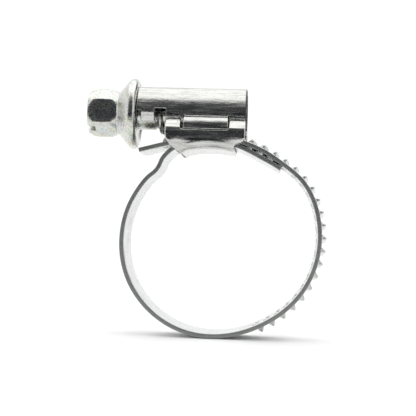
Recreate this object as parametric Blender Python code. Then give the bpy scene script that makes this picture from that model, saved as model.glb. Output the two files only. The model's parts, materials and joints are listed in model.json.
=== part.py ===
"""Worm-drive hose clamp, 20 to 32 mm, with a 9 mm band and a 7 mm hex-head worm screw.

Four pieces: the band (one strip that is wound into the loop), the saddle that the band
runs through, the cover that is crimped to the saddle over the screw, and the worm screw.
Lengths below are in millimetres and become metres where each mesh is made.
Frame: origin in the middle of the loop, +Y along the hose, +Z up to the screw,
and the screw lies along X with its head at -X.
"""
import math

import bmesh
import bpy
import numpy as np

MM = 0.001

# Band
BAND_WIDTH = 9.0
BAND_THICK = 0.7
LAYER_GAP = 0.1
CHANNEL_X = -2.13         # centre of the arc that both layers follow in the saddle
CHANNEL_Z = -3.05
CHANNEL_RADIUS = 19.0     # to the middle of the threaded layer
CHANNEL_START = -14.9     # degrees from straight up, towards the tail
CHANNEL_END = 36.6
TAIL_LENGTH = 6.9
FIXED_LENGTH = 26.0       # of the strip's fixed end: S-bend, inner layer and tongue
S_BEND_LENGTH = 9.0
LOOP_STEP = 1.5           # spacing of the mesh's rows along the strip
S_BEND_STEP = 0.5
FIXED_STEP = 1.1
TOOTH_MARGIN = 0.8        # plain strip left before the first tooth and after the last

# Teeth on the band
PITCH = 2.0
TOOTH_COUNT = 27
TOOTH_HEIGHT = 0.8
TOOTH_FIRST = 4.61        # along the strip, from the end of the tail
TOOTH_RAMP = 0.75         # from the foot to the crest on the tail's side
TOOTH_CREST = 0.16
TOOTH_BACK = 0.26
TOOTH_HALF = 2.6          # half the length of the crest, across the band
TOOTH_END = 0.4
TOOTH_SLANT = math.tan(math.radians(6.3))

# Screw
SCREW_Z = 19.85
HEX_FLATS = 7.0
HEX_START = -22.55
HEX_END = -17.75
WORM_RADIUS = 3.3
CORE_RADIUS = 2.4
NECK_RADIUS = 2.6
WORM_START = -11.4
WORM_END = 2.75
THREAD_BOTTOM_X = -2.37   # a crest passes under the axis here
THREAD_CREST = 0.5
THREAD_ROOT = 1.3
THREAD_SINK = 0.35        # how deep the ridge is sunk into the core
THREAD_FADE = 8           # mesh steps over which the ridge rises at its ends
SLOT_WIDTH = 1.2
SLOT_DEPTH = 1.3
SLOT_TURN = 53.0          # degrees from flat, rising away from the front

# Cover
COVER_Z = 20.0
COVER_RADIUS = 4.0        # to the middle of the sheet
COVER_THICK = 0.75
COVER_START = -14.35
COVER_END = 3.5
COVER_EDGE = 90.0         # degrees from the top where the open stretches end
COVER_SKIRT = 122.0       # degrees from the top where the closed stretches end
TAB_START = -13.62
TAB_END = -11.42
TAB_PARTS = [(0.4, 28.0), (1.3, 0.0)]      # length, and turn in degrees
GAP_START = -11.3
GAP_EDGE = 84.0
GAP_END = -9.55
LUG_START = -6.52
LUG_END = 0.62
LUG_SLIT = 0.12
LUG_ANGLE = 97.3
LUG_PARTS = [(0.7, -79.0), (1.02, 0.0), (0.8, 71.7), (0.93, 0.0)]

# Saddle
SADDLE_THICK = 0.75
SADDLE_RADIUS = CHANNEL_RADIUS - 1.5 * BAND_THICK - 2 * LAYER_GAP - SADDLE_THICK / 2
SADDLE_OUT = 5.7          # middle of the side wall, out from the mid plane
SADDLE_FOLD = 1.2         # radius of the fold under the wall, at mid length
SADDLE_FOLD_LOSS = 0.4    # how much tighter the fold is at the ends
SADDLE_TILT = 20.0        # lean of the wall's foot at the ends, in degrees
SADDLE_FOOT = 1.3         # length of that leaning foot
SADDLE_EASE = 2.5         # radius of the bend above it
SADDLE_MID = -0.4           # of the blank, measured along the channel
SADDLE_REACH = 4.9
LIP_LENGTH = 1.0          # the floor's end at the fixed strip is turned down
LIP_DROP = 0.45
EAR_BEND_Z = 17.1
EAR_BEND = 0.35
EAR_SLOPE = 0.84
SADDLE_TOP = 18.6
SADDLE_NOTCH = 16.95


def clear_scene():
    for item in list(bpy.data.objects):
        bpy.data.objects.remove(item, do_unlink=True)


def metal(name, colour, roughness):
    made = bpy.data.materials.new(name)
    made.use_nodes = True
    shader = made.node_tree.nodes["Principled BSDF"]
    shader.inputs["Base Color"].default_value = (*colour, 1.0)
    shader.inputs["Metallic"].default_value = 1.0
    shader.inputs["Roughness"].default_value = roughness
    return made


def add_object(name, points, faces, material, origin=(0.0, 0.0, 0.0), sharp=35.0):
    """A mesh object from points in millimetres, with its origin at a point in millimetres."""
    mesh = bpy.data.meshes.new(name)
    moved = [[(p[i] - origin[i]) * MM for i in range(3)] for p in points]
    mesh.from_pydata(moved, [], faces)
    shape = bmesh.new()
    shape.from_mesh(mesh)
    bmesh.ops.recalc_face_normals(shape, faces=shape.faces)
    shape.to_mesh(mesh)
    shape.free()
    mesh.shade_smooth()
    mesh.set_sharp_from_angle(angle=math.radians(sharp))
    made = bpy.data.objects.new(name, mesh)
    made.location = [c * MM for c in origin]
    bpy.context.scene.collection.objects.link(made)
    if material:
        mesh.materials.append(material)
    return made


def hide_cutter(cutter):
    cutter.hide_render = True
    cutter.display_type = "WIRE"


def add_boolean(body, cutter, operation):
    step = body.modifiers.new(cutter.name, "BOOLEAN")
    step.operation = operation
    step.object = cutter
    hide_cutter(cutter)


def revolve(profile, sides, phase=0.0):
    """Points and faces of a profile of (x, radius), turned about the screw's axis."""
    points, faces = [], []
    for x, radius in profile:
        for i in range(sides):
            turn = 2 * math.pi * i / sides + phase
            points.append((x, radius * math.sin(turn), SCREW_Z + radius * math.cos(turn)))
    for k in range(len(profile) - 1):
        for i in range(sides):
            j = (i + 1) % sides
            faces.append((k * sides + i, k * sides + j, (k + 1) * sides + j, (k + 1) * sides + i))
    last = (len(profile) - 1) * sides
    faces.append(tuple(reversed(range(sides))))
    faces.append(tuple(range(last, last + sides)))
    return points, faces


# ---------------------------------------------------------------- worm screw

def thread_ridge(sides=24):
    """The worm's thread: a trapezoid swept along a right-hand helix, sunk into the core."""
    half_root = THREAD_ROOT / 2
    half_crest = THREAD_CREST / 2
    low, high = CORE_RADIUS - THREAD_SINK, WORM_RADIUS
    profile = [(-half_root, low), (half_root, low), (half_crest, high), (-half_crest, high)]
    first = (WORM_START + half_root - THREAD_BOTTOM_X) / PITCH
    last = (WORM_END - half_root - THREAD_BOTTOM_X) / PITCH
    steps = int((last - first) * sides)
    points, faces = [], []
    for k in range(steps + 1):
        turns = first + (last - first) * k / steps
        angle = 2 * math.pi * turns - math.pi / 2
        fade = min(1.0, (k + 2) / THREAD_FADE, (steps - k + 2) / THREAD_FADE)
        for along, radius in profile:
            r = low + (radius - low) * fade
            x = THREAD_BOTTOM_X + PITCH * turns + along
            points.append((x, r * math.cos(angle), SCREW_Z + r * math.sin(angle)))
    for k in range(steps):
        for i in range(4):
            j = (i + 1) % 4
            faces.append((4 * k + i, 4 * k + j, 4 * k + 4 + j, 4 * k + 4 + i))
    faces.append((3, 2, 1, 0))
    faces.append(tuple(4 * steps + i for i in range(4)))
    return points, faces


def worm_screw(material):
    origin = (0.0, 0.0, SCREW_Z)
    profile = [
        (HEX_START + 1.8, 2.9), (HEX_END - 0.05, 2.9), (HEX_END - 0.05, 3.45), (-17.55, 3.6),
        (-16.2, 5.2), (-15.8, 5.62), (-15.4, 5.8), (-14.95, 5.8), (-14.6, 5.62), (-14.42, 5.2),
        (-14.42, 4.4), (-14.65, 3.9), (-14.65, 3.2), (-14.45, NECK_RADIUS),
        (WORM_START - 0.05, NECK_RADIUS), (WORM_START, CORE_RADIUS),
        (WORM_END, CORE_RADIUS), (WORM_END + 0.3, CORE_RADIUS - 0.35),
    ]
    body = add_object("worm_screw", *revolve(profile, 40), material, origin)
    corner = HEX_FLATS / math.sqrt(3)
    hexagon = [(HEX_START, corner), (HEX_END, corner)]
    head = add_object("head_hexagon", *revolve(hexagon, 6), None, origin)
    chamfer = [
        (HEX_START - 0.01, HEX_FLATS / 2 - 0.55), (HEX_START + 0.45, HEX_FLATS / 2 + 0.2),
        (HEX_START + 0.9, corner + 0.1), (HEX_END - 0.6, corner + 0.1),
        (HEX_END + 0.01, HEX_FLATS / 2 + 0.05),
    ]
    round_off = add_object("head_chamfer", *revolve(chamfer, 40), None, origin)
    add_boolean(head, round_off, "INTERSECT")
    add_boolean(body, head, "UNION")
    thread = add_object("thread_ridge", *thread_ridge(), None, origin)
    add_boolean(body, thread, "UNION")
    slot = driver_slot(origin)
    add_boolean(body, slot, "DIFFERENCE")
    return body


def driver_slot(origin):
    """The cutter of the straight slot across the end of the head."""
    corners = [(x, y, SCREW_Z + z) for x in (HEX_START - 1.0, HEX_START + SLOT_DEPTH)
               for y in (-6.0, 6.0) for z in (-SLOT_WIDTH / 2, SLOT_WIDTH / 2)]
    faces = [(0, 1, 3, 2), (4, 6, 7, 5), (0, 4, 5, 1), (2, 3, 7, 6), (0, 2, 6, 4), (1, 5, 7, 3)]
    slot = add_object("driver_slot", corners, faces, None, origin)
    slot.rotation_euler.x = math.radians(SLOT_TURN)
    return slot


# ---------------------------------------------------------------- bent sheet

def sheet(name, outline, slices, bend, thickness, material):
    """A flat blank, cut to an outline, sliced where it bends, bent and given its thickness.

    bend(u, v, out) returns the bent place of the blank's point u, v at a distance out
    from the middle of the sheet.
    """
    blank = bmesh.new()
    blank.faces.new([blank.verts.new((u, v, 0.0)) for u, v in outline])
    for axis, places in enumerate(slices):
        normal = [0.0, 0.0, 0.0]
        normal[axis] = 1.0
        for place in places:
            point = [0.0, 0.0, 0.0]
            point[axis] = place
            bmesh.ops.bisect_plane(blank, geom=blank.verts[:] + blank.edges[:] + blank.faces[:],
                                   dist=1e-5, plane_co=point, plane_no=normal)
    blank.verts.index_update()
    flat = [(v.co.x, v.co.y) for v in blank.verts]
    count = len(flat)
    points = [bend(u, v, thickness / 2) for u, v in flat]
    points += [bend(u, v, -thickness / 2) for u, v in flat]
    faces = []
    for face in blank.faces:
        loop = [v.index for v in face.verts]
        faces.append(loop)
        faces.append([count + i for i in reversed(loop)])
    for edge in blank.edges:
        if edge.is_boundary:
            a, b = (v.index for v in edge.verts)
            faces.append([a, b, count + b, count + a])
    blank.free()
    return add_object(name, points, faces, material)


def spread(low, high, step):
    """Places from low to high, evenly spaced, no further apart than step."""
    count = max(1, math.ceil((high - low) / step - 1e-6))
    return [low + (high - low) * i / count for i in range(count + 1)]


def mirrored(half):
    """A closed outline from its +v half, which starts and ends at v = 0."""
    return half + [(u, -v) for u, v in reversed(half) if v > 1e-6]


# ---------------------------------------------------------------- cover

def arc_length(degrees):
    return COVER_RADIUS * math.radians(degrees)


def follow(y, z, heading, parts, along, out):
    """A point at a distance along a chain of (length, turn in degrees), offset by out.

    The chain starts at y, z with a heading in degrees from straight out sideways,
    measured downwards, and out is to its left, away from the screw.
    """
    for k, (length, turn) in enumerate(parts):
        step = min(along, length) if k < len(parts) - 1 else along
        swing = turn * step / length
        middle = math.radians(heading + swing / 2)
        chord = step
        if abs(swing) > 1e-6:
            half = math.radians(abs(swing)) / 2
            chord = step * math.sin(half) / half
        y += chord * math.cos(middle)
        z -= chord * math.sin(middle)
        heading += swing
        along -= step
        if along <= 1e-9:
            break
    down = math.radians(heading)
    return y + out * math.sin(down), z + out * math.cos(down)


def bend_cover(u, v, out):
    side = 1.0 if v >= 0 else -1.0
    along = abs(v)
    degrees = math.degrees(along / COVER_RADIUS)
    in_lug = LUG_START - 1e-4 <= u <= LUG_END + 1e-4 and degrees > LUG_ANGLE
    in_tab = TAB_START - 1e-4 <= u <= TAB_END + 1e-4 and degrees > COVER_EDGE
    if in_lug or in_tab:
        foot = LUG_ANGLE if in_lug else COVER_EDGE
        parts = LUG_PARTS if in_lug else TAB_PARTS
        angle = math.radians(foot)
        y0 = COVER_RADIUS * math.sin(angle)
        z0 = COVER_RADIUS * math.cos(angle)
        y, z = follow(y0, z0, foot, parts, along - arc_length(foot), out)
        return (u, side * y, COVER_Z + z)
    radius = COVER_RADIUS + out
    angle = along / COVER_RADIUS
    return (u, side * radius * math.sin(angle), COVER_Z + radius * math.cos(angle))


def cover(material):
    edge = arc_length(COVER_EDGE)
    skirt = arc_length(COVER_SKIRT)
    slit = arc_length(LUG_ANGLE)
    tab = edge + sum(length for length, _ in TAB_PARTS)
    lug = slit + sum(length for length, _ in LUG_PARTS)
    half = [
        (COVER_START, 0.0), (COVER_START, edge), (TAB_START, edge), (TAB_START, tab),
        (TAB_END, tab), (TAB_END, edge), (GAP_START, arc_length(GAP_EDGE)),
        (GAP_END, arc_length(GAP_EDGE)), (GAP_END, skirt),
        (LUG_START - LUG_SLIT, skirt), (LUG_START - LUG_SLIT, slit), (LUG_START, slit),
        (LUG_START, lug), (LUG_END, lug), (LUG_END, slit), (LUG_END + LUG_SLIT, slit),
        (LUG_END + LUG_SLIT, skirt), (COVER_END, skirt), (COVER_END, 0.0),
    ]
    bends = spread(0.0, edge, arc_length(12.0)) + spread(edge, skirt, arc_length(12.0))[1:]
    for parts, place in ((TAB_PARTS, edge), (LUG_PARTS, slit)):
        for length, turn in parts:
            pieces = 1 + int(abs(turn) / 20)
            bends += [place + length * (i + 1) / pieces for i in range(pieces)]
            place += length
    across = sorted(bends + [-b for b in bends if b > 0])
    return sheet("housing_cover", mirrored(half), ([], across), bend_cover, COVER_THICK, material)


# ---------------------------------------------------------------- saddle

def saddle_section(u):
    """The section of half the saddle at u: lengths, and turns in degrees, out and up."""
    share = min(1.0, abs(u - SADDLE_MID) / SADDLE_REACH)
    tilt = SADDLE_TILT * share
    radius = SADDLE_FOLD - SADDLE_FOLD_LOSS * share
    foot = SADDLE_FOOT * share * share
    lean = math.radians(tilt)
    flat = SADDLE_OUT - radius * math.cos(lean) - foot * math.sin(lean)
    flat -= SADDLE_EASE * (1 - math.cos(lean))
    fold = radius * math.radians(90.0 - tilt)
    ease = max(SADDLE_EASE * lean, 1e-3)
    return [(flat, 0.0), (fold, tilt - 90.0), (max(foot, 1e-3), 0.0), (ease, -tilt), (1.0, 0.0)]


def section_place(u, v, out):
    """How far sideways and how high above the floor a point of the blank comes to lie."""
    parts = saddle_section(u)
    whole = min(int(v), len(parts) - 1)
    along = sum(length for length, _ in parts[:whole]) + (v - whole) * parts[whole][0]
    return follow(0.0, 0.0, 0.0, parts, along, -out)


def wall_place(x, z):
    """The blank's u, v for a point of the side wall at x, z."""
    out = math.hypot(x - CHANNEL_X, z - CHANNEL_Z) - SADDLE_RADIUS
    u = SADDLE_RADIUS * math.atan2(x - CHANNEL_X, z - CHANNEL_Z)
    low, high = 1.0, 12.0
    for _ in range(40):
        v = (low + high) / 2
        if section_place(u, v, 0.0)[1] < out:
            low = v
        else:
            high = v
    return u, v


def bend_saddle(u, v, out):
    """v counts the section's parts: 0 to 1 is the floor, and over 4 is the upright wall."""
    side = 1.0 if v >= 0 else -1.0
    y, rise = section_place(u, abs(v), out)
    lip = max(0.0, 1.0 - (u - LEFT_END) / LIP_LENGTH)
    rise -= LIP_DROP * lip * lip * min(1.0, max(0.0, 2.0 - abs(v)))
    angle = u / SADDLE_RADIUS
    x = CHANNEL_X + (SADDLE_RADIUS + rise) * math.sin(angle)
    z = CHANNEL_Z + (SADDLE_RADIUS + rise) * math.cos(angle)
    above = z - EAR_BEND_Z
    if abs(v) > 3.0 and above > 0.0:
        y -= EAR_SLOPE * (above - EAR_BEND / 2 if above > EAR_BEND else above ** 2 / (2 * EAR_BEND))
    return (x, side * y, z)


LEFT_END = -SADDLE_RADIUS * math.radians(15.8)
RIGHT_END = SADDLE_RADIUS * math.radians(12.9)


def saddle(material):
    top, notch = SADDLE_TOP, SADDLE_NOTCH
    wall = [
        (-8.26, 14.11), (-8.77, 14.66), (-9.19, 15.21), (-9.42, 15.72), (-9.5, 16.3),
        (-9.52, 17.4), (-9.52, top - 0.2), (-9.38, top), (-8.2, top), (-7.25, top),
        (-7.06, top - 0.2), (-7.03, 17.85), (-7.0, notch + 0.35), (-6.85, notch + 0.07),
        (-6.5, notch), (-4.6, notch), (-2.9, notch), (-1.2, notch), (0.4, notch),
        (0.68, notch + 0.08), (0.82, notch + 0.4), (0.84, 18.0), (0.86, top - 0.2), (1.02, top),
        (2.35, top), (3.32, top), (3.46, top - 0.2), (3.48, 17.2), (3.5, 16.2), (3.44, 15.64),
        (3.2, 15.3), (2.75, 15.0), (2.12, 14.78), (1.84, 14.6),
    ]
    half = [(LEFT_END, 0.0), (LEFT_END, 0.97), (LEFT_END - 0.35, 1.3), (LEFT_END - 0.75, 1.85)]
    half += [wall_place(x, z) for x, z in wall]
    half += [(RIGHT_END, 1.6), (RIGHT_END, 0.97), (RIGHT_END, 0.0)]
    bends = [1.0 + i / 5 for i in range(6)] + [2.5, 3.0, 3.5, 4.0]
    bends += spread(4.3, 6.4, 0.3)
    across = sorted(bends + [-b for b in bends])
    lengthwise = spread(LEFT_END - 1.6, RIGHT_END + 1.2, 0.8)
    return sheet("saddle", mirrored(half), (lengthwise, across), bend_saddle, SADDLE_THICK,
                 material)


# ---------------------------------------------------------------- band

def channel_point(degrees, radius=CHANNEL_RADIUS):
    angle = math.radians(degrees)
    return (CHANNEL_X + radius * math.sin(angle), CHANNEL_Z + radius * math.cos(angle))


def band_knots():
    """Points on the middle of the strip, from the tail, round the loop, to the tongue."""
    start = math.radians(CHANNEL_START)
    x, z = channel_point(CHANNEL_START)
    tail = [(x - d * math.cos(start), z + d * math.sin(start))
            for d in (TAIL_LENGTH, TAIL_LENGTH * 0.66, TAIL_LENGTH * 0.33)]
    threaded = [channel_point(a) for a in spread(CHANNEL_START, CHANNEL_END, 8.0)]
    loop = [
        (12.83, 9.25), (15.55, 3.28), (15.5, -3.28), (12.77, -9.23), (7.83, -13.47),
        (1.68, -15.75), (-5.03, -15.52), (-11.05, -12.27), (-15.01, -6.66), (-15.97, 0.02),
        (-14.82, 4.86), (-13.24, 7.7), (-11.89, 9.35),
    ]
    s_bend = [(-10.98, 10.13), (-10.34, 11.04), (-9.87, 12.16), (-9.25, 12.99), (-8.37, 13.8)]
    inner = CHANNEL_RADIUS - BAND_THICK - LAYER_GAP
    fixed = [channel_point(a, inner) for a in spread(-14.4, 13.6, 7.0)]
    tongue = [(5.09, 13.47), (6.72, 12.67), (8.34, 11.82), (9.33, 11.22)]
    return tail + threaded + loop + s_bend + fixed + tongue


def smooth_route(knots, step=0.1):
    """The natural cubic curve through the knots: places along it, and its points."""
    knots = np.array(knots)
    gaps = np.linalg.norm(np.diff(knots, axis=0), axis=1)
    at = np.concatenate([[0.0], np.cumsum(gaps)])
    count = len(knots)
    system = np.eye(count)
    slopes = np.zeros((count, 2))
    for i in range(1, count - 1):
        system[i, i - 1:i + 2] = (gaps[i - 1], 2 * (gaps[i - 1] + gaps[i]), gaps[i])
        slopes[i] = 6 * ((knots[i + 1] - knots[i]) / gaps[i] - (knots[i] - knots[i - 1]) / gaps[i - 1])
    bends = np.linalg.solve(system, slopes)
    points = []
    for i, gap in enumerate(gaps):
        for t in np.arange(0.0, gap, step):
            a, b = (gap - t) / gap, t / gap
            curve = ((a ** 3 - a) * bends[i] + (b ** 3 - b) * bends[i + 1]) * gap * gap / 6
            points.append(a * knots[i] + b * knots[i + 1] + curve)
    points.append(knots[-1])
    points = np.array(points)
    along = np.concatenate([[0.0], np.cumsum(np.linalg.norm(np.diff(points, axis=0), axis=1))])
    return along, points


def tooth_rows():
    """Places along the strip and heights of the teeth's rows."""
    rows = []
    for k in range(TOOTH_COUNT):
        crest = TOOTH_FIRST + PITCH * k
        rows.append((crest - TOOTH_RAMP, 0.0))
        rows.append((crest, TOOTH_HEIGHT))
        rows.append((crest + TOOTH_CREST, TOOTH_HEIGHT))
        rows.append((crest + TOOTH_CREST + TOOTH_BACK, 0.0))
    return rows


def band(material):
    along, points = smooth_route(band_knots())
    tangents = np.gradient(points, along, axis=0)
    tangents /= np.linalg.norm(tangents, axis=1)[:, None]
    total = along[-1]
    rows = tooth_rows()
    first, last = rows[0][0], rows[-1][0]
    plain_end = total - FIXED_LENGTH
    curved_end = plain_end + S_BEND_LENGTH
    places = [(s, 0.0, False) for s in spread(0.0, first - TOOTH_MARGIN, LOOP_STEP)]
    places += [(s, h, True) for s, h in rows]
    places += [(s, 0.0, False) for s in spread(last + TOOTH_MARGIN, plain_end, LOOP_STEP)]
    places += [(s, 0.0, False) for s in spread(plain_end, curved_end, S_BEND_STEP)[1:]]
    places += [(s, 0.0, False) for s in spread(curved_end, total, FIXED_STEP)[1:]]
    half = BAND_WIDTH / 2
    columns = [(-half, 0), (-TOOTH_HALF - TOOTH_END, 0), (-TOOTH_HALF, 1), (TOOTH_HALF, 1),
               (TOOTH_HALF + TOOTH_END, 0), (half, 0)]
    grid = []
    for side in (1, -1):
        for s, height, slanted in places:
            for y, full in columns:
                reach = min(TOOTH_HALF, max(-TOOTH_HALF, y))
                at = s + (TOOTH_SLANT * reach if slanted else 0.0)
                place = [np.interp(at, along, points[:, k]) for k in (0, 1)]
                tangent = [np.interp(at, along, tangents[:, k]) for k in (0, 1)]
                off = side * BAND_THICK / 2 + (height * full if side > 0 else 0.0)
                grid.append((place[0] - tangent[1] * off, y, place[1] + tangent[0] * off))
    wide, long = len(columns), len(places)
    faces = []
    for k in range(long - 1):
        for i in range(wide - 1):
            a = k * wide + i
            b = a + long * wide
            faces.append((a, a + 1, a + 1 + wide, a + wide))
            faces.append((b, b + wide, b + 1 + wide, b + 1))
        for i in (0, wide - 1):
            a = k * wide + i
            b = a + long * wide
            faces.append((a, a + wide, b + wide, b))
    for k in (0, long - 1):
        for i in range(wide - 1):
            a = k * wide + i
            b = a + long * wide
            faces.append((a, b, b + 1, a + 1))
    origin = (CHANNEL_X, 0.0, CHANNEL_Z)
    return add_object("band", grid, faces, material, origin)


def main():
    clear_scene()
    zinc = metal("zinc_plated_steel", (0.75, 0.76, 0.75), 0.3)
    bright = metal("bright_sheet_steel", (0.68, 0.68, 0.67), 0.22)
    strip = metal("band_steel", (0.62, 0.63, 0.61), 0.3)
    worm_screw(zinc)
    cover(bright)
    saddle(bright)
    band(strip)


main()
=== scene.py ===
"""Looks of the worm-drive hose clamp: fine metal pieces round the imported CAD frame.

Lengths are in millimetres until a mesh is made, then in metres.
"""
import json
import math

import bmesh
import bpy
import numpy as np
from mathutils import Matrix, Vector


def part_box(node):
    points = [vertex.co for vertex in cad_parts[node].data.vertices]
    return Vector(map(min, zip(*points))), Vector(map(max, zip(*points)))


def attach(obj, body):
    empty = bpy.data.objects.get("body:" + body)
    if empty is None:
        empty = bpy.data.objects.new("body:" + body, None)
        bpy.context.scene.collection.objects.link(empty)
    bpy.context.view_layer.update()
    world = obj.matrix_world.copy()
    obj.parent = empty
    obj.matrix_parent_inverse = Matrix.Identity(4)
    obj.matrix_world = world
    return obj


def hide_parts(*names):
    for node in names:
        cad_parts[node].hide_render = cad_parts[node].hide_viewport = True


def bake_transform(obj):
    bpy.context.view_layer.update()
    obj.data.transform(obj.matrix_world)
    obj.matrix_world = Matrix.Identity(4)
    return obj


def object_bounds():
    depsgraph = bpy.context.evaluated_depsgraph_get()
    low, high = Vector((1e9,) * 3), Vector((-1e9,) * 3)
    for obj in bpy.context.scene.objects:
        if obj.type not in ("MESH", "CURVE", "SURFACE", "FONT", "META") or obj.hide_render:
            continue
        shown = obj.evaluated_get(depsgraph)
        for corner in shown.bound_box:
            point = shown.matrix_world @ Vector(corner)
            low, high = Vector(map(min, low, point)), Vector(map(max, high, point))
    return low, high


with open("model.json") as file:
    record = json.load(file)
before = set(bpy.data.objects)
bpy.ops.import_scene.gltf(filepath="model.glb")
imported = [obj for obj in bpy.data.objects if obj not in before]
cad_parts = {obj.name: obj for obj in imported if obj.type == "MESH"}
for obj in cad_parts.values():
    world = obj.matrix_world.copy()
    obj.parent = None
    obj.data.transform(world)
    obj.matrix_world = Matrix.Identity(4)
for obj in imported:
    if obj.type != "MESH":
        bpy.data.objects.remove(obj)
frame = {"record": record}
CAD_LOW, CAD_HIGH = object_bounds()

MM = 0.001

# The frame's own places, in millimetres
JOINTS = {joint["name"]: joint for joint in frame["record"]["behaviour"]["joints"]}
SCREW_Z = JOINTS["screw_spin"]["pos_m"][2] / MM
CHANNEL_X, _, CHANNEL_Z = (c / MM for c in JOINTS["band_feed"]["pos_m"])
SCREW_LOW, SCREW_HIGH = (Vector(c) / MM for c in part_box("worm_screw"))
COVER_LOW, COVER_HIGH = (Vector(c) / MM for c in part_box("housing_cover"))
BAND_LOW, BAND_HIGH = (Vector(c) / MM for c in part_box("band"))

# Band
BAND_THICK = 0.7
LAYER_GAP = 0.1
CHANNEL_RADIUS = 19.0
CHANNEL_START = -14.9
CHANNEL_END = 36.6
TAIL_LENGTH = 6.9
EDGE_ROUND = 0.13
PITCH = 2.0
TOOTH_COUNT = 27
TOOTH_HEIGHT = 0.8
TOOTH_FIRST = 4.61
TOOTH_RAMP = 0.75
TOOTH_CREST = 0.16
TOOTH_BACK = 0.26
TOOTH_HALF = 2.6
TOOTH_END = 0.4
TOOTH_SLANT = math.tan(math.radians(6.3))
INNER_GROOVE = 0.3        # how far the underside is pressed up behind a tooth
INNER_BUMP = 0.16         # how far it bulges beside that
SEAM_PAST_TOOTH = 1.6     # where the toothed piece ends, past the last tooth

# Screw
HEX_FLATS = 7.0
HEX_START = SCREW_LOW.x
HEX_END = HEX_START + 4.8
WORM_RADIUS = 3.3
CORE_RADIUS = 2.4
NECK_RADIUS = 2.6
WORM_START = -11.4
WORM_END = SCREW_HIGH.x - 0.3
THREAD_BOTTOM_X = -2.37
SLOT_WIDTH = 1.2
SLOT_DEPTH = 1.3
SLOT_TURN = 53.0
SIDES = 192
HEX_CHAMFER = math.tan(math.radians(31.0))
HEX_POWER = 48            # the higher, the sharper the hexagon's corners
CUT_POWER = 24            # the same for the corners between flats and chamfers
THREAD_FLAT = 0.2         # half the width of the thread's crest
THREAD_FLANK = 0.42
THREAD_RUN_OUT = 0.8
ROWS_PER_TURN = 16
SCREW_SHARP = 38.0        # edges sharper than this, in degrees, aren't smoothed

# Cover
COVER_Z = 20.0
COVER_RADIUS = 4.0        # to the middle of the sheet
COVER_THICK = 0.75
COVER_START = COVER_LOW.x
COVER_END = COVER_HIGH.x
COVER_EDGE = 90.0         # degrees from the top where the open stretches end
COVER_SKIRT = 122.0       # degrees from the top where the closed stretches end
TAB_START = -13.62
TAB_END = -11.42
TAB_PARTS = [(0.4, 28.0), (1.3, 0.0)]      # length, and turn in degrees
GAP_START = -11.3
GAP_EDGE = 84.0
GAP_END = -9.55
COVER_RIM = 0.24          # width of the rim at the cover's open end whose colour is darkened almost to black
LUG_START = -6.52
LUG_END = 0.62
LUG_SLIT = 0.12
LUG_ANGLE = 97.3
LUG_PARTS = [(0.7, -79.0), (0.55, 0.0), (1.45, 71.7), (0.6, 0.0)]

# Saddle
SADDLE_THICK = 0.75
SADDLE_RADIUS = CHANNEL_RADIUS - 1.5 * BAND_THICK - 2 * LAYER_GAP - SADDLE_THICK / 2
SADDLE_OUT = 5.7          # middle of the side wall, out from the mid plane
SADDLE_FOLD = 1.2         # radius of the fold under the wall, at mid length
SADDLE_FOLD_LOSS = 0.4    # how much tighter the fold is at the ends
SADDLE_TILT = 20.0        # lean of the wall's foot at the ends, in degrees
SADDLE_FOOT = 1.3         # length of that leaning foot
SADDLE_EASE = 2.5         # radius of the bend above it
SADDLE_MID = -0.4
SADDLE_REACH = 4.9
LIP_LENGTH = 1.0          # the floor's end at the fixed strip is turned down
LIP_DROP = 0.32
EAR_BEND_Z = 17.1
EAR_BEND = 0.35
EAR_SLOPE = 0.84
SADDLE_TOP = 18.6
SADDLE_NOTCH = 16.95
LEFT_END = -SADDLE_RADIUS * math.radians(15.8)
RIGHT_END = SADDLE_RADIUS * math.radians(12.9)

# Edges of both sheets
SOFT_EDGE = 0.3
CRISP_EDGE = 0.12
EDGE_STEPS = (0.015, 0.03, 0.04, 0.035, 0.08, 0.1)

# Camera
CAMERA_PLACE = Vector((8.36, -168.5, 0.1))
FOCAL_PIXELS = 1024.0
FRAME_PIXELS = 416.0
SENSOR = 36.0
LOOK_LEFT = 65.0
LOOK_UP = 29.0
CAMERA_TURN = 1.37
CAMERA_ROLL = 1.94

# Stage, in metres
WORLD_GLOW = 1.05
FLOOR_REACH = 0.6
FLOOR_GAP = 0.0001
CARDS = [                 # name, place, what it faces, size, glow at its bottom and at its top
    ("dark_front", (0.02, -0.26, 0.17), (0.02, 0.0, 0.17), (0.6, 0.38),
     (0.03, 0.032, 0.036), (0.17, 0.17, 0.175)),
    ("dark_floor", (0.02, -0.175, -0.0155), (0.02, -0.175, 0.2), (0.6, 0.17),
     (0.03, 0.032, 0.036), (0.02, 0.021, 0.024)),
    ("dark_right", (0.3, 0.25, 0.02), (0.0, 0.0, 0.02), (0.45, 0.5),
     (0.05, 0.05, 0.055), (0.08, 0.08, 0.085)),
    ("bright_back", (0.0, 0.6, 0.1), (0.0, 0.0, 0.1), (1.6, 0.5),
     (1.3, 1.3, 1.3), (1.1, 1.1, 1.1)),
]


# ---------------------------------------------------------------- mesh helpers

def add_piece(name, points, faces, material, sharp=32.0, body="housing", stands_for=None):
    """A smooth-shaded piece from points in millimetres, riding on a body."""
    mesh = bpy.data.meshes.new(name)
    mesh.from_pydata([(p[0] * MM, p[1] * MM, p[2] * MM) for p in points], [], faces)
    shape = bmesh.new()
    shape.from_mesh(mesh)
    bmesh.ops.remove_doubles(shape, verts=shape.verts, dist=1e-7)
    bmesh.ops.dissolve_degenerate(shape, edges=shape.edges, dist=1e-8)
    bmesh.ops.recalc_face_normals(shape, faces=shape.faces)
    shape.to_mesh(mesh)
    shape.free()
    mesh.shade_smooth()
    mesh.set_sharp_from_angle(angle=math.radians(sharp))
    piece = bpy.data.objects.new(name, mesh)
    bpy.context.scene.collection.objects.link(piece)
    if material:
        mesh.materials.append(material)
    if body:
        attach(piece, body)
    if stands_for:
        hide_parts(stands_for)
    return piece


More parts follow.
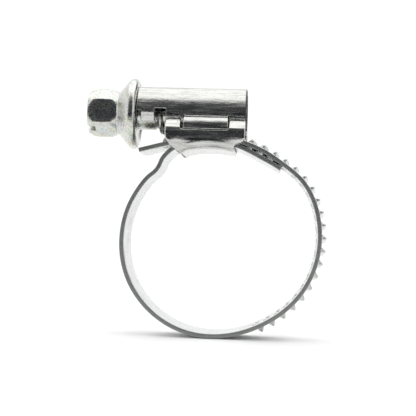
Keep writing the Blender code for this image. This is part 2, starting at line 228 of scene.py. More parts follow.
def spread(low, high, step):
    """Places from low to high, evenly spaced, no further apart than step."""
    count = max(1, math.ceil((high - low) / step - 1e-6))
    return [low + (high - low) * i / count for i in range(count + 1)]


def smoothstep(t):
    t = np.clip(t, 0.0, 1.0)
    return t * t * (3 - 2 * t)


def ring_grid(rows, closed=True):
    """Faces of a stack of equal rows of points; rows are rings when closed."""
    count = len(rows[0])
    faces = []
    for k in range(len(rows) - 1):
        for i in range(count if closed else count - 1):
            j = (i + 1) % count
            faces.append((k * count + i, k * count + j, (k + 1) * count + j, (k + 1) * count + i))
    return faces


# ---------------------------------------------------------------- band

def channel_point(degrees, radius=CHANNEL_RADIUS):
    angle = math.radians(degrees)
    return (CHANNEL_X + radius * math.sin(angle), CHANNEL_Z + radius * math.cos(angle))


def band_knots():
    """Points on the middle of the strip, from the tail, round the loop, to the tongue."""
    start = math.radians(CHANNEL_START)
    x, z = channel_point(CHANNEL_START)
    tail = [(x - d * math.cos(start), z + d * math.sin(start))
            for d in (TAIL_LENGTH, TAIL_LENGTH * 0.66, TAIL_LENGTH * 0.33)]
    threaded = [channel_point(a) for a in spread(CHANNEL_START, CHANNEL_END, 8.0)]
    loop = [
        (12.83, 9.25), (15.55, 3.28), (15.5, -3.28), (12.77, -9.23), (7.83, -13.47),
        (1.68, -15.75), (-5.03, -15.52), (-11.05, -12.27), (-15.01, -6.66), (-15.97, 0.02),
        (-14.82, 4.86), (-13.24, 7.7), (-11.89, 9.35),
    ]
    s_bend = [(-10.98, 10.13), (-10.34, 11.04), (-9.87, 12.16), (-9.25, 12.99), (-8.37, 13.8)]
    inner = CHANNEL_RADIUS - BAND_THICK - LAYER_GAP
    fixed = [channel_point(a, inner) for a in spread(-14.4, 13.6, 7.0)]
    tongue = [(5.07, 13.4), (6.68, 12.58), (8.3, 11.73), (9.28, 11.13)]
    return tail + threaded + loop + s_bend + fixed + tongue


def smooth_route(knots, step=0.05):
    """The natural cubic curve through the knots: places along it, and its points."""
    knots = np.array(knots)
    gaps = np.linalg.norm(np.diff(knots, axis=0), axis=1)
    count = len(knots)
    system = np.eye(count)
    slopes = np.zeros((count, 2))
    for i in range(1, count - 1):
        system[i, i - 1:i + 2] = (gaps[i - 1], 2 * (gaps[i - 1] + gaps[i]), gaps[i])
        slopes[i] = 6 * ((knots[i + 1] - knots[i]) / gaps[i] - (knots[i] - knots[i - 1]) / gaps[i - 1])
    bends = np.linalg.solve(system, slopes)
    points = []
    for i, gap in enumerate(gaps):
        for t in np.arange(0.0, gap, step):
            a, b = (gap - t) / gap, t / gap
            curve = ((a ** 3 - a) * bends[i] + (b ** 3 - b) * bends[i + 1]) * gap * gap / 6
            points.append(a * knots[i] + b * knots[i + 1] + curve)
    points.append(knots[-1])
    points = np.array(points)
    along = np.concatenate([[0.0], np.cumsum(np.linalg.norm(np.diff(points, axis=0), axis=1))])
    return along, points


class Strip:
    """The strip's middle line, and places on the strip by distance along, across and out."""

    def __init__(self):
        self.along, self.points = smooth_route(band_knots())
        tangents = np.gradient(self.points, self.along, axis=0)
        self.tangents = tangents / np.linalg.norm(tangents, axis=1)[:, None]
        self.total = self.along[-1]

    def place(self, s, y, out):
        x, z = (np.interp(s, self.along, self.points[:, k]) for k in (0, 1))
        tx, tz = (np.interp(s, self.along, self.tangents[:, k]) for k in (0, 1))
        return (x - tz * out, y, z + tx * out)


def tooth_share(s, y):
    """How much of a tooth's height stands at a place: 0 between teeth, 1 on a crest."""
    reach = min(TOOTH_HALF, max(-TOOTH_HALF, y))
    along = s - TOOTH_SLANT * reach
    number = round((along - TOOTH_FIRST) / PITCH)
    if number < 0 or number >= TOOTH_COUNT:
        return 0.0
    d = along - TOOTH_FIRST - PITCH * number
    across = 1.0 - smoothstep((abs(y) - TOOTH_HALF + 0.1) / TOOTH_END)
    if d < 0.0:
        share = 1.0 - smoothstep(-d / TOOTH_RAMP) ** 0.8
    elif d < TOOTH_CREST:
        share = 1.0
    else:
        share = 1.0 - smoothstep((d - TOOTH_CREST) / TOOTH_BACK)
    return float(share * across)


def section(columns):
    """One cross-section of the strip as (y, side, edge drop): a rounded flat bar."""
    half = (BAND_HIGH.y - BAND_LOW.y) / 2
    flat = half - EDGE_ROUND
    turns = [math.radians(a) for a in (22.5, 45.0, 67.5)]
    corner = [(flat + EDGE_ROUND * math.sin(a), EDGE_ROUND * (1 - math.cos(a))) for a in turns]
    top = [(y, 1, 0.0) for y in columns]
    right = [(y, 1, drop) for y, drop in corner] + [(half, 1, EDGE_ROUND), (half, -1, EDGE_ROUND)]
    right += [(y, -1, drop) for y, drop in reversed(corner)]
    under = [(y, -1, 0.0) for y in reversed(columns)]
    left = [(-y, -side, drop) for y, side, drop in right]
    return top + right + under + left


def strip_piece(name, strip, places, columns, teeth, material, body):
    loop = section(columns)
    rows = []
    for s in places:
        row = []
        for y, side, drop in loop:
            out = side * (BAND_THICK / 2 - drop)
            if teeth and drop == 0.0:
                share = tooth_share(s, y)
                out += share * (TOOTH_HEIGHT if side > 0 else INNER_GROOVE)
                if side < 0:
                    out -= INNER_BUMP * tooth_share(s - PITCH * 0.45, y * 1.15)
            row.append(strip.place(s, y, out))
        rows.append(row)
    faces = ring_grid(rows)
    count = len(loop)
    top = len(columns)
    under = top + 8
    last = (len(rows) - 1) * count
    for base, flip in ((0, False), (last, True)):
        for i in range(top - 1):
            quad = [base + i, base + i + 1, base + under + top - 2 - i, base + under + top - 1 - i]
            faces.append(quad[::-1] if flip else quad)
        for near in (0, top - 1):
            side = list(range(top, under)) if near else list(range(under + top, count))
            edge = [base + near] + [base + i for i in side]
            edge.append(base + under + (0 if near else top - 1))
            if not near:
                edge = [base + under + top - 1] + [base + i for i in side] + [base]
            faces.append(edge[::-1] if flip else edge)
    points = [p for row in rows for p in row]
    return add_piece(name, points, faces, material, 40.0, body, "band")


def build_band(material):
    strip = Strip()
    flat = BAND_HIGH.y - EDGE_ROUND
    seam = TOOTH_FIRST + PITCH * (TOOTH_COUNT - 1) + SEAM_PAST_TOOTH
    fine = sorted({*spread(-flat, -3.2, 0.7), *spread(-3.2, -2.3, 0.09), *spread(-2.3, 2.3, 0.46),
                   *spread(2.3, 3.2, 0.09), *spread(3.2, flat, 0.7)})
    toothed = strip_piece("band_toothed", strip, spread(0.0, seam, 0.09), fine, True, material,
                          "strip")
    plain_columns = spread(-flat, flat, 1.1)
    plain = strip_piece("band_plain", strip, spread(seam, strip.total, 0.3), plain_columns, False,
                        material, None)
    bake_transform(plain)


# ---------------------------------------------------------------- bent sheet

def outline_distance(outline, u, v):
    """How far points of the blank lie from its outline."""
    ends = np.array(outline)
    starts = np.roll(ends, 1, axis=0)
    runs = ends - starts
    lengths = np.maximum((runs ** 2).sum(axis=1), 1e-12)
    nearest = np.full(len(u), 1e9)
    for start, run, length in zip(starts, runs, lengths):
        t = np.clip(((u - start[0]) * run[0] + (v - start[1]) * run[1]) / length, 0.0, 1.0)
        gap = np.hypot(u - start[0] - t * run[0], v - start[1] - t * run[1])
        nearest = np.minimum(nearest, gap)
    return nearest


def sheet(name, outline, slices, bend, thickness, rounding, material, stands_for):
    """A flat blank with rounded edges, sliced where it bends, bent and given its thickness."""
    blank = bmesh.new()
    inner = [blank.faces.new([blank.verts.new((u, v, 0.0)) for u, v in outline])]
    for step in EDGE_STEPS:
        bmesh.ops.inset_region(blank, faces=inner, thickness=step, use_even_offset=True,
                               use_boundary=True)
    for axis, places in enumerate(slices):
        normal = [0.0, 0.0, 0.0]
        normal[axis] = 1.0
        for place in places:
            point = [0.0, 0.0, 0.0]
            point[axis] = place
            bmesh.ops.bisect_plane(blank, geom=blank.verts[:] + blank.edges[:] + blank.faces[:],
                                   dist=1e-5, plane_co=point, plane_no=normal)
    blank.verts.index_update()
    flat = np.array([(v.co.x, v.co.y) for v in blank.verts])
    curve = np.array([rounding(u, v) for u, v in flat])
    inset = np.minimum(outline_distance(outline, flat[:, 0], flat[:, 1]), curve)
    loss = curve - np.sqrt(np.maximum(0.0, curve ** 2 - (curve - inset) ** 2))
    half = thickness / 2 - loss
    count = len(flat)
    points = [bend(u, v, h) for (u, v), h in zip(flat, half)]
    points += [bend(u, v, -h) for (u, v), h in zip(flat, half)]
    faces = []
    for face in blank.faces:
        loop = [v.index for v in face.verts]
        faces.append(loop)
        faces.append([count + i for i in reversed(loop)])
    for edge in blank.edges:
        if edge.is_boundary:
            a, b = (v.index for v in edge.verts)
            faces.append([a, b, count + b, count + a])
    blank.free()
    piece = add_piece(name, points, faces, material, 50.0, "housing", stands_for)
    return piece


def cover_rounding(u, v):
    """The cover's right end is rolled over; its slits and the lug have crisper edges."""
    share = smoothstep((u - LUG_END - 0.9) / 0.8)
    return CRISP_EDGE + (SOFT_EDGE - CRISP_EDGE) * float(share)


def saddle_rounding(u, v):
    """The saddle's ends are rolled over; the notch between the ears is crisper."""
    share = smoothstep((abs(u - SADDLE_MID) - 4.0) / 1.2) if abs(v) > 4.0 else 1.0
    return CRISP_EDGE + (SOFT_EDGE - CRISP_EDGE) * float(share)


def mirrored(half):
    """A closed outline from its +v half, which starts and ends at v = 0."""
    return half + [(u, -v) for u, v in reversed(half) if v > 1e-6]


# ---------------------------------------------------------------- cover

def arc_length(degrees):
    return COVER_RADIUS * math.radians(degrees)


def follow(y, z, heading, parts, along, out):
    """A point at a distance along a chain of (length, turn in degrees), offset by out."""
    for k, (length, turn) in enumerate(parts):
        step = min(along, length) if k < len(parts) - 1 else along
        swing = turn * step / length
        middle = math.radians(heading + swing / 2)
        chord = step
        if abs(swing) > 1e-6:
            half = math.radians(abs(swing)) / 2
            chord = step * math.sin(half) / half
        y += chord * math.cos(middle)
        z -= chord * math.sin(middle)
        heading += swing
        along -= step
        if along <= 1e-9:
            break
    down = math.radians(heading)
    return y + out * math.sin(down), z + out * math.cos(down)


def bend_cover(u, v, out):
    side = 1.0 if v >= 0 else -1.0
    along = abs(v)
    degrees = math.degrees(along / COVER_RADIUS)
    in_lug = LUG_START - 1e-4 <= u <= LUG_END + 1e-4 and degrees > LUG_ANGLE
    in_tab = TAB_START - 1e-4 <= u <= TAB_END + 1e-4 and degrees > COVER_EDGE
    if in_lug or in_tab:
        foot = LUG_ANGLE if in_lug else COVER_EDGE
        parts = LUG_PARTS if in_lug else TAB_PARTS
        angle = math.radians(foot)
        y0 = COVER_RADIUS * math.sin(angle)
        z0 = COVER_RADIUS * math.cos(angle)
        y, z = follow(y0, z0, foot, parts, along - arc_length(foot), out)
        return (u, side * y, COVER_Z + z)
    radius = COVER_RADIUS + out
    angle = along / COVER_RADIUS
    return (u, side * radius * math.sin(angle), COVER_Z + radius * math.cos(angle))


def build_cover(material):
    edge = arc_length(COVER_EDGE)
    skirt = arc_length(COVER_SKIRT)
    slit = arc_length(LUG_ANGLE)
    tab = edge + sum(length for length, _ in TAB_PARTS)
    lug = slit + sum(length for length, _ in LUG_PARTS)
    half = [
        (COVER_START, 0.0), (COVER_START, edge), (TAB_START, edge), (TAB_START, tab),
        (TAB_END, tab), (TAB_END, edge), (GAP_START, arc_length(GAP_EDGE)),
        (GAP_END, arc_length(GAP_EDGE)), (GAP_END, skirt),
        (LUG_START - LUG_SLIT, skirt), (LUG_START - LUG_SLIT, slit), (LUG_START, slit),
        (LUG_START, lug), (LUG_END, lug), (LUG_END, slit), (LUG_END + LUG_SLIT, slit),
        (LUG_END + LUG_SLIT, skirt), (COVER_END, skirt), (COVER_END, 0.0),
    ]
    bends = spread(0.0, edge, arc_length(3.0)) + spread(edge, skirt, arc_length(3.0))[1:]
    for parts, place in ((TAB_PARTS, edge), (LUG_PARTS, slit)):
        for length, turn in parts:
            pieces = 1 + int(abs(turn) / 6)
            bends += [place + length * (i + 1) / pieces for i in range(pieces)]
            place += length
    across = sorted(bends + [-b for b in bends if b > 0])
    return sheet("housing_cover_fine", mirrored(half), ([], across), bend_cover, COVER_THICK,
                 cover_rounding, material, "housing_cover")


# ---------------------------------------------------------------- saddle

def saddle_section(u):
    """The section of half the saddle at u: lengths, and turns in degrees, out and up."""
    share = min(1.0, abs(u - SADDLE_MID) / SADDLE_REACH)
    tilt = SADDLE_TILT * share
    radius = SADDLE_FOLD - SADDLE_FOLD_LOSS * share
    foot = SADDLE_FOOT * share * share
    lean = math.radians(tilt)
    flat = SADDLE_OUT - radius * math.cos(lean) - foot * math.sin(lean)
    flat -= SADDLE_EASE * (1 - math.cos(lean))
    fold = radius * math.radians(90.0 - tilt)
    ease = max(SADDLE_EASE * lean, 1e-3)
    return [(flat, 0.0), (fold, tilt - 90.0), (max(foot, 1e-3), 0.0), (ease, -tilt), (1.0, 0.0)]


def section_place(u, v, out):
    """How far sideways and how high above the floor a point of the blank comes to lie."""
    parts = saddle_section(u)
    whole = min(int(v), len(parts) - 1)
    along = sum(length for length, _ in parts[:whole]) + (v - whole) * parts[whole][0]
    return follow(0.0, 0.0, 0.0, parts, along, -out)


def wall_place(x, z):
    """The blank's u, v for a point of the side wall at x, z."""
    out = math.hypot(x - CHANNEL_X, z - CHANNEL_Z) - SADDLE_RADIUS
    u = SADDLE_RADIUS * math.atan2(x - CHANNEL_X, z - CHANNEL_Z)
    low, high = 1.0, 12.0
    for _ in range(40):
        v = (low + high) / 2
        if section_place(u, v, 0.0)[1] < out:
            low = v
        else:
            high = v
    return u, v


def bend_saddle(u, v, out):
    """v counts the section's parts: 0 to 1 is the floor, and over 4 is the upright wall."""
    side = 1.0 if v >= 0 else -1.0
    y, rise = section_place(u, abs(v), out)
    lip = max(0.0, 1.0 - (u - LEFT_END) / LIP_LENGTH)
    rise -= LIP_DROP * lip * lip * min(1.0, max(0.0, 2.0 - abs(v)))
    angle = u / SADDLE_RADIUS
    x = CHANNEL_X + (SADDLE_RADIUS + rise) * math.sin(angle)
    z = CHANNEL_Z + (SADDLE_RADIUS + rise) * math.cos(angle)
    above = z - EAR_BEND_Z
    if abs(v) > 3.0 and above > 0.0:
        y -= EAR_SLOPE * (above - EAR_BEND / 2 if above > EAR_BEND else above ** 2 / (2 * EAR_BEND))
    return (x, side * y, z)


def build_saddle(material):
    top, notch = SADDLE_TOP, SADDLE_NOTCH
    wall = [
        (-8.26, 14.11), (-8.77, 14.66), (-9.19, 15.21), (-9.42, 15.72), (-9.5, 16.3),
        (-9.52, 17.4), (-9.52, top - 0.2), (-9.38, top), (-8.2, top), (-7.25, top),
        (-7.06, top - 0.2), (-7.03, 17.85), (-7.0, notch + 0.35), (-6.85, notch + 0.07),
        (-6.5, notch), (-4.6, notch), (-2.9, notch), (-1.2, notch), (0.4, notch),
        (0.68, notch + 0.08), (0.82, notch + 0.4), (0.84, 18.0), (0.86, top - 0.2), (1.02, top),
        (2.35, top), (3.32, top), (3.46, top - 0.2), (3.48, 17.2), (3.5, 16.2), (3.44, 15.64),
        (3.2, 15.3), (2.75, 15.0), (2.12, 14.78), (1.84, 14.6),
    ]
    half = [(LEFT_END, 0.0), (LEFT_END, 0.97), (LEFT_END - 0.35, 1.3), (LEFT_END - 0.75, 1.85)]
    half += [wall_place(x, z) for x, z in wall]
    half += [(RIGHT_END, 1.6), (RIGHT_END, 0.97), (RIGHT_END, 0.0)]
    bends = [1.0 + i / 10 for i in range(11)] + spread(2.15, 4.0, 0.15) + spread(4.15, 6.4, 0.12)
    across = sorted(bends + [-b for b in bends])
    lengthwise = spread(LEFT_END - 1.6, RIGHT_END + 1.2, 0.25)
    return sheet("saddle_fine", mirrored(half), (lengthwise, across), bend_saddle, SADDLE_THICK,
                 saddle_rounding, material, "saddle")


# ---------------------------------------------------------------- worm screw

def hex_radius(turn):
    """The hexagon's radius at a turn from the top, with softly rounded corners."""
    total = 0.0
    for k in range(6):
        total += max(0.0, math.cos(turn - math.radians(30 + 60 * k))) ** HEX_POWER
    return HEX_FLATS / 2 / total ** (1 / HEX_POWER)


def thread_height(phase):
    """The worm's profile over one pitch, phase 0 on the crest, as a share of its height."""
    d = abs((phase + 0.5) % 1.0 - 0.5) * PITCH
    return float(1.0 - smoothstep((d - THREAD_FLAT) / THREAD_FLANK))


def screw_rows():
    turns = [2 * math.pi * i / SIDES for i in range(SIDES)]
    rows = []

    def ring(x, radius):
        rows.append([(x, radius * math.sin(t), SCREW_Z + radius * math.cos(t)) for t in turns])

    for share in (0.02, 0.35, 0.62, 0.8):
        ring(HEX_START, HEX_FLATS / 2 * share)
    length = HEX_END - HEX_START
    for d in [0.0, 0.02, 0.05, 0.1, 0.18, 0.28, 0.4, 0.55, 0.7, 0.85, 1.0, 1.4, 2.0, 2.8,
              length - 1.0, length - 0.85, length - 0.7, length - 0.55, length - 0.4, length - 0.28,
              length - 0.15, length]:
        chamfer = HEX_FLATS / 2 - 0.06 + HEX_CHAMFER * d
        foot = HEX_FLATS / 2 - 0.02 + HEX_CHAMFER * (length - d)
        row = []
        for t in turns:
            sizes = (hex_radius(t), chamfer, foot)
            radius = sum(size ** -CUT_POWER for size in sizes) ** (-1 / CUT_POWER)
            x = HEX_START + d
            row.append((x, radius * math.sin(t), SCREW_Z + radius * math.cos(t)))
        rows.append(row)
    flange = [
        (0.02, 3.45), (0.12, 3.48), (0.3, 3.62), (0.8, 4.22), (1.3, 4.83), (1.65, 5.23),
        (1.9, 5.52), (2.1, 5.69), (2.35, 5.79), (2.6, 5.81), (2.85, 5.78), (3.05, 5.67),
        (3.2, 5.5), (3.3, 5.28), (3.34, 5.0), (3.3, 4.6), (3.2, 4.2), (3.1, 3.85), (3.08, 3.4),
        (3.14, 3.05), (3.25, 2.8), (3.4, NECK_RADIUS + 0.05), (3.6, NECK_RADIUS),
    ]
    for d, radius in flange:
        ring(HEX_END + d, radius)
    for x in spread(HEX_END + 3.9, WORM_START - 0.3, 0.5):
        ring(x, NECK_RADIUS)
    ring(WORM_START - 0.1, NECK_RADIUS)
    ring(WORM_START - 0.03, NECK_RADIUS - 0.05)
    ring(WORM_START, CORE_RADIUS)
    count = int((WORM_END - WORM_START) / PITCH + 1) * ROWS_PER_TURN
    first = WORM_START - PITCH
    for k in range(count + ROWS_PER_TURN):
        row = []
        for t in turns:
            x = first + PITCH * (k / ROWS_PER_TURN + (1.0 - t / (2 * math.pi)))
            x = min(WORM_END, max(WORM_START, x))
            phase = (x - THREAD_BOTTOM_X) / PITCH - (0.5 - t / (2 * math.pi))
            fade = smoothstep((x - WORM_START) / THREAD_RUN_OUT)
            fade = fade * smoothstep((WORM_END - x) / THREAD_RUN_OUT)
            radius = CORE_RADIUS + (WORM_RADIUS - CORE_RADIUS) * thread_height(phase) * float(fade)
            row.append((x, radius * math.sin(t), SCREW_Z + radius * math.cos(t)))
        rows.append(row)
    for d, radius in ((0.02, CORE_RADIUS), (0.12, 2.37), (0.3, 2.05), (0.3, 1.0), (0.3, 0.05)):
        ring(WORM_END + d, radius)
    return rows


def cut_driver_slot(piece):
    """Cuts the straight slot across the end of the head."""
    corners = [(x * MM, y * MM, z * MM) for x in (HEX_START - 1.0, HEX_START + SLOT_DEPTH)
               for y in (-6.0, 6.0) for z in (-SLOT_WIDTH / 2, SLOT_WIDTH / 2)]
    faces = [(0, 1, 3, 2), (4, 6, 7, 5), (0, 4, 5, 1), (2, 3, 7, 6), (0, 2, 6, 4), (1, 5, 7, 3)]
    mesh = bpy.data.meshes.new("driver_slot")
    mesh.from_pydata(corners, [], faces)
    mesh.transform(Matrix.Translation((0.0, 0.0, SCREW_Z * MM))
                   @ Matrix.Rotation(math.radians(SLOT_TURN), 4, "X"))
    cutter = bpy.data.objects.new("driver_slot", mesh)
    bpy.context.scene.collection.objects.link(cutter)
    cut = piece.modifiers.new("slot", "BOOLEAN")
    cut.operation = "DIFFERENCE"
    cut.solver = "EXACT"
    cut.object = cutter
    bpy.context.view_layer.update()
    solid = piece.evaluated_get(bpy.context.evaluated_depsgraph_get())
    made = bpy.data.meshes.new_from_object(solid)
    piece.modifiers.clear()
    piece.data = made
    bpy.data.objects.remove(cutter)
    made.shade_smooth()
    made.set_sharp_from_angle(angle=math.radians(SCREW_SHARP))


def build_screw(material):
    rows = screw_rows()
    count = len(rows[0])
    faces = ring_grid(rows)
    faces.append(tuple(range(count)))
    last = (len(rows) - 1) * count
    faces.append(tuple(last + i for i in range(count)))
    points = [p for row in rows for p in row]
    piece = add_piece("worm_screw_fine", points, faces, material, SCREW_SHARP, "screw",
                      "worm_screw")
    cut_driver_slot(piece)
    return piece


# ---------------------------------------------------------------- materials

class Paint:
    """A node material built step by step, its patterns laid out in the object's own space."""

    def __init__(self, name):
        self.made = bpy.data.materials.new(name)
        self.made.use_nodes = True
        self.tree = self.made.node_tree
        self.shader = self.tree.nodes["Principled BSDF"]
        self.shader.inputs["Metallic"].default_value = 1.0
        self.space = self.tree.nodes.new("ShaderNodeTexCoord").outputs["Object"]

    def join(self, a, b):
        self.tree.links.new(a, b)

    def scaled(self, scale, turn=(0.0, 0.0, 0.0)):
        mapping = self.tree.nodes.new("ShaderNodeMapping")
        mapping.inputs["Scale"].default_value = scale
        mapping.inputs["Rotation"].default_value = [math.radians(a) for a in turn]
        self.join(self.space, mapping.inputs["Vector"])
        return mapping.outputs["Vector"]

    def noise(self, scale, detail=3.0, rough=0.55, turn=(0.0, 0.0, 0.0)):
        node = self.tree.nodes.new("ShaderNodeTexNoise")
        node.inputs["Scale"].default_value = 1.0
        node.inputs["Detail"].default_value = detail
        node.inputs["Roughness"].default_value = rough
        self.join(self.scaled(scale, turn), node.inputs["Vector"])
        return node.outputs["Fac"]

    def cells(self, scale):
        node = self.tree.nodes.new("ShaderNodeTexVoronoi")
        node.inputs["Scale"].default_value = 1.0
        self.join(self.scaled(scale), node.inputs["Vector"])
        return node.outputs["Color"]

    def place(self, axis):
        """One coordinate of the shaded point, in metres."""
        split = self.tree.nodes.new("ShaderNodeSeparateXYZ")
        self.join(self.space, split.inputs["Vector"])
        return split.outputs[axis]

    def around_screw(self, along, across):
        """Noise drawn out round the screw's axis, from its length and its radius."""
        side = self.place("Y")
        raised = self.math("SUBTRACT", self.place("Z"), SCREW_Z * MM)
        radius = self.math("SQRT", self.math("ADD", self.math("MULTIPLY", raised, raised),
                                             self.math("MULTIPLY", side, side)))
        joined = self.tree.nodes.new("ShaderNodeCombineXYZ")
        self.join(self.math("MULTIPLY", self.place("X"), along), joined.inputs["X"])
        self.join(self.math("MULTIPLY", radius, along), joined.inputs["Y"])
        self.join(self.math("MULTIPLY", raised, across), joined.inputs["Z"])
        node = self.tree.nodes.new("ShaderNodeTexNoise")
        node.inputs["Scale"].default_value = 1.0
        self.join(joined.outputs["Vector"], node.inputs["Vector"])
        return node.outputs["Fac"]

    def math(self, operation, a, b=None):
        node = self.tree.nodes.new("ShaderNodeMath")
        node.operation = operation
        for socket, value in zip(node.inputs, (a, b)):
            if isinstance(value, (int, float)):
                socket.default_value = value
            elif value is not None:
                self.join(value, socket)
        return node.outputs["Value"]

    def ramp(self, value, stops):
        node = self.tree.nodes.new("ShaderNodeValToRGB")
        elements = node.color_ramp.elements
        while len(elements) < len(stops):
            elements.new(0.5)
        for element, (place, colour) in zip(elements, stops):
            element.position = place
            element.color = (*colour, 1.0)
        self.join(value, node.inputs["Fac"])
        return node.outputs["Color"]

    def span(self, value, low, high, out_low, out_high):
        node = self.tree.nodes.new("ShaderNodeMapRange")
        for socket, number in zip(("From Min", "From Max", "To Min", "To Max"),
                                  (low, high, out_low, out_high)):
            node.inputs[socket].default_value = number
        self.join(value, node.inputs["Value"])
        return node.outputs["Result"]

    def mix(self, fac, a, b, blend="MIX"):
        node = self.tree.nodes.new("ShaderNodeMix")
        node.data_type = "RGBA"
        node.blend_type = blend
        for socket, value in ((node.inputs[0], fac), (node.inputs[6], a), (node.inputs[7], b)):
            if isinstance(value, float):
                socket.default_value = value
            elif isinstance(value, tuple):
                socket.default_value = (*value, 1.0)
            else:
                self.join(value, socket)
        return node.outputs[2]

    def bump(self, height, strength, distance, under=None):
        node = self.tree.nodes.new("ShaderNodeBump")
        node.inputs["Strength"].default_value = strength
        node.inputs["Distance"].default_value = distance * MM
        self.join(height, node.inputs["Height"])
        if under is not None:
            self.join(under, node.inputs["Normal"])
        return node.outputs["Normal"]

    def finish(self, colour, roughness, normal=None):
        self.join(colour, self.shader.inputs["Base Color"])
        self.join(roughness, self.shader.inputs["Roughness"])
        if normal is not None:
            self.join(normal, self.shader.inputs["Normal"])
        return self.made


def zinc_material():
    """Passivated zinc plating: pale crystals, faint yellow and blue tints, dull patches."""
    paint = Paint("zinc_plated")
    patches = paint.noise((900, 900, 900), 4.0, 0.6)
    crystals = paint.cells((1500, 1500, 1500))
    fine = paint.noise((2600, 2600, 2600), 4.0, 0.6)
    turned_marks = paint.around_screw(9000, 900)
    tint = paint.ramp(patches, [(0.3, (0.53, 0.56, 0.55)), (0.46, (0.64, 0.65, 0.63)),
                                (0.56, (0.66, 0.65, 0.58)), (0.7, (0.58, 0.61, 0.6))])
    colour = paint.mix(0.18, tint, crystals, "OVERLAY")
    colour = paint.mix(0.45, colour, paint.ramp(fine, [(0.38, (0.2, 0.22, 0.23)),
                                                       (0.54, (0.66, 0.66, 0.62))]), "MIX")
    roughness = paint.span(patches, 0.3, 0.7, 0.16, 0.34)
    normal = paint.bump(turned_marks, 0.25, 0.02)
    normal = paint.bump(fine, 0.35, 0.02, normal)
    normal = paint.bump(patches, 0.5, 0.06, normal)
    return paint.finish(colour, roughness, normal)


def sheet_material(name, rim_start=None):
    """Bright cold-rolled sheet: fine grain along the screw, scuffs, and colour darkened almost to
    black past rim_start.
    """
    paint = Paint(name)
    grain = paint.noise((260, 4200, 4200), 4.0, 0.65)
    clouds = paint.noise((420, 900, 900), 4.0, 0.6)
    specks = paint.noise((2600, 4200, 4200), 2.0, 0.5)
    scratch = paint.noise((90, 3000, 3000), 2.0, 0.5, (0.0, 24.0, 0.0))
    base = paint.ramp(clouds, [(0.3, (0.52, 0.53, 0.51)), (0.55, (0.63, 0.63, 0.61)),
                               (0.75, (0.58, 0.58, 0.55))])
    colour = paint.mix(paint.span(specks, 0.6, 0.72, 0.0, 0.75), base, (0.22, 0.22, 0.21))
    colour = paint.mix(0.45, colour, paint.ramp(grain, [(0.36, (0.22, 0.22, 0.21)),
                                                        (0.6, (0.7, 0.7, 0.68))]))
    if rim_start is not None:
        # colour darkened almost to black at the cover's open end; the roughness stays as elsewhere
        rim = paint.span(paint.place("X"), rim_start * MM, (rim_start + 0.05) * MM, 0.0, 0.9)
        colour = paint.mix(rim, colour, (0.05, 0.05, 0.055))
    smooth = paint.span(clouds, 0.3, 0.7, 0.1, 0.2)
    roughness = paint.math("ADD", smooth, paint.span(grain, 0.42, 0.66, 0.0, 0.22))
    normal = paint.bump(grain, 0.6, 0.02)
    normal = paint.bump(scratch, 0.4, 0.02, normal)
    normal = paint.bump(clouds, 0.7, 0.09, normal)
    return paint.finish(colour, roughness, normal)


def strip_material():
    """Rolled strip, satin on its faces, with sheared edges that are duller and darker."""
    paint = Paint("rolled_strip")
    clouds = paint.noise((500, 300, 500), 4.0, 0.6)
    grain = paint.noise((700, 12000, 700), 3.0, 0.6)
    fine = paint.noise((6000, 6000, 6000), 2.0, 0.5)
    colour = paint.ramp(clouds, [(0.3, (0.5, 0.52, 0.52)), (0.55, (0.6, 0.61, 0.6)),
                                 (0.75, (0.55, 0.56, 0.54))])
    colour = paint.mix(0.25, colour, paint.ramp(fine, [(0.35, (0.3, 0.31, 0.31)),
                                                       (0.6, (0.64, 0.65, 0.64))]))
    sheared = paint.span(paint.math("ABSOLUTE", paint.place("Y")), (BAND_HIGH.y - 0.09) * MM,
                         (BAND_HIGH.y - 0.02) * MM, 0.0, 1.0)
    colour = paint.mix(paint.math("MULTIPLY", sheared, 0.8), colour, (0.27, 0.28, 0.27))
    smooth = paint.span(clouds, 0.3, 0.7, 0.18, 0.3)
    roughness = paint.math("ADD", smooth, paint.math("MULTIPLY", sheared, 0.3))
    normal = paint.bump(grain, 0.3, 0.015)
    normal = paint.bump(fine, 0.2, 0.01, normal)
    return paint.finish(colour, roughness, normal)


# ---------------------------------------------------------------- stage

def turned(direction, degrees):
    return Matrix.Rotation(math.radians(degrees), 3, "Y") @ direction


def build_camera():
    data = bpy.data.cameras.new("camera")
    data.sensor_width = SENSOR
    data.lens = SENSOR * FOCAL_PIXELS / FRAME_PIXELS
    data.clip_start = 0.01
    data.clip_end = 10.0
    camera = bpy.data.objects.new("camera", data)
    bpy.context.scene.collection.objects.link(camera)
    look = turned(Vector((-LOOK_LEFT, FOCAL_PIXELS, LOOK_UP)).normalized(), -CAMERA_TURN)
    up = turned(Vector((0.0, 0.0, 1.0)), -CAMERA_ROLL)
    back = -look
    right = up.cross(back).normalized()
    up = back.cross(right)
    camera.matrix_world = Matrix((right, up, back)).transposed().to_4x4()
    camera.location = CAMERA_PLACE * MM
    bpy.context.scene.camera = camera


def area_light(name, place, target, size, power):
    data = bpy.data.lights.new(name, "AREA")
    data.shape = "RECTANGLE"
    data.size, data.size_y = size
    data.energy = power
    lamp = bpy.data.objects.new(name, data)
    lamp.location = place
    lamp.rotation_euler = (Vector(target) - Vector(place)).to_track_quat("-Z", "Y").to_euler()
    bpy.context.scene.collection.objects.link(lamp)


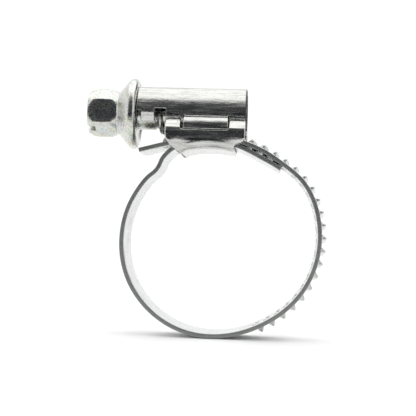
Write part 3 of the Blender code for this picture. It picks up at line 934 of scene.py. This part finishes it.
def card(name, place, target, size, low, high):
    """A studio card that only shows in reflections, graded from its bottom to its top edge."""
    mesh = bpy.data.meshes.new(name)
    w, h = size[0] / 2, size[1] / 2
    mesh.from_pydata([(-w, -h, 0), (w, -h, 0), (w, h, 0), (-w, h, 0)], [], [(0, 1, 2, 3)])
    made = bpy.data.objects.new(name, mesh)
    made.location = place
    made.rotation_euler = (Vector(target) - Vector(place)).to_track_quat("-Z", "Y").to_euler()
    bpy.context.scene.collection.objects.link(made)
    made.visible_camera = False
    made.visible_shadow = False
    made.visible_diffuse = False
    paint = bpy.data.materials.new(name)
    paint.use_nodes = True
    nodes, links = paint.node_tree.nodes, paint.node_tree.links
    nodes.clear()
    split = nodes.new("ShaderNodeSeparateXYZ")
    links.new(nodes.new("ShaderNodeTexCoord").outputs["Generated"], split.inputs["Vector"])
    shade = nodes.new("ShaderNodeMix")
    shade.data_type = "RGBA"
    links.new(split.outputs["Y"], shade.inputs[0])
    shade.inputs[6].default_value = (*low, 1.0)
    shade.inputs[7].default_value = (*high, 1.0)
    glow = nodes.new("ShaderNodeEmission")
    links.new(shade.outputs[2], glow.inputs["Color"])
    out = nodes.new("ShaderNodeOutputMaterial")
    links.new(glow.outputs["Emission"], out.inputs["Surface"])
    mesh.materials.append(paint)


def build_stage():
    world = bpy.data.worlds.new("studio")
    bpy.context.scene.world = world
    world.use_nodes = True
    world.node_tree.nodes["Background"].inputs["Color"].default_value = (1.0, 1.0, 1.0, 1.0)
    world.node_tree.nodes["Background"].inputs["Strength"].default_value = WORLD_GLOW
    floor_mesh = bpy.data.meshes.new("floor")
    far, level = FLOOR_REACH, CAD_LOW.z - FLOOR_GAP
    floor_mesh.from_pydata([(-far, -far, level), (far, -far, level), (far, far, level),
                            (-far, far, level)], [], [(0, 1, 2, 3)])
    floor = bpy.data.objects.new("floor", floor_mesh)
    bpy.context.scene.collection.objects.link(floor)
    paint = bpy.data.materials.new("floor_paint")
    paint.use_nodes = True
    shader = paint.node_tree.nodes["Principled BSDF"]
    shader.inputs["Base Color"].default_value = (0.9, 0.9, 0.9, 1.0)
    shader.inputs["Roughness"].default_value = 0.6
    floor_mesh.materials.append(paint)
    for name, place, target, size, low, high in CARDS:
        card(name, place, target, size, low, high)
    area_light("softbox_top", (0.0, 0.06, 0.36), (0.0, 0.02, 0.0), (0.7, 0.5), 0.7)
    bpy.context.scene.view_settings.view_transform = "Standard"


def main():
    zinc = zinc_material()
    cover_steel = sheet_material("rolled_cover", COVER_END - COVER_RIM)
    saddle_steel = sheet_material("rolled_saddle")
    strip_steel = strip_material()
    build_band(strip_steel)
    build_cover(cover_steel)
    build_saddle(saddle_steel)
    build_screw(zinc)
    build_camera()
    build_stage()


main()
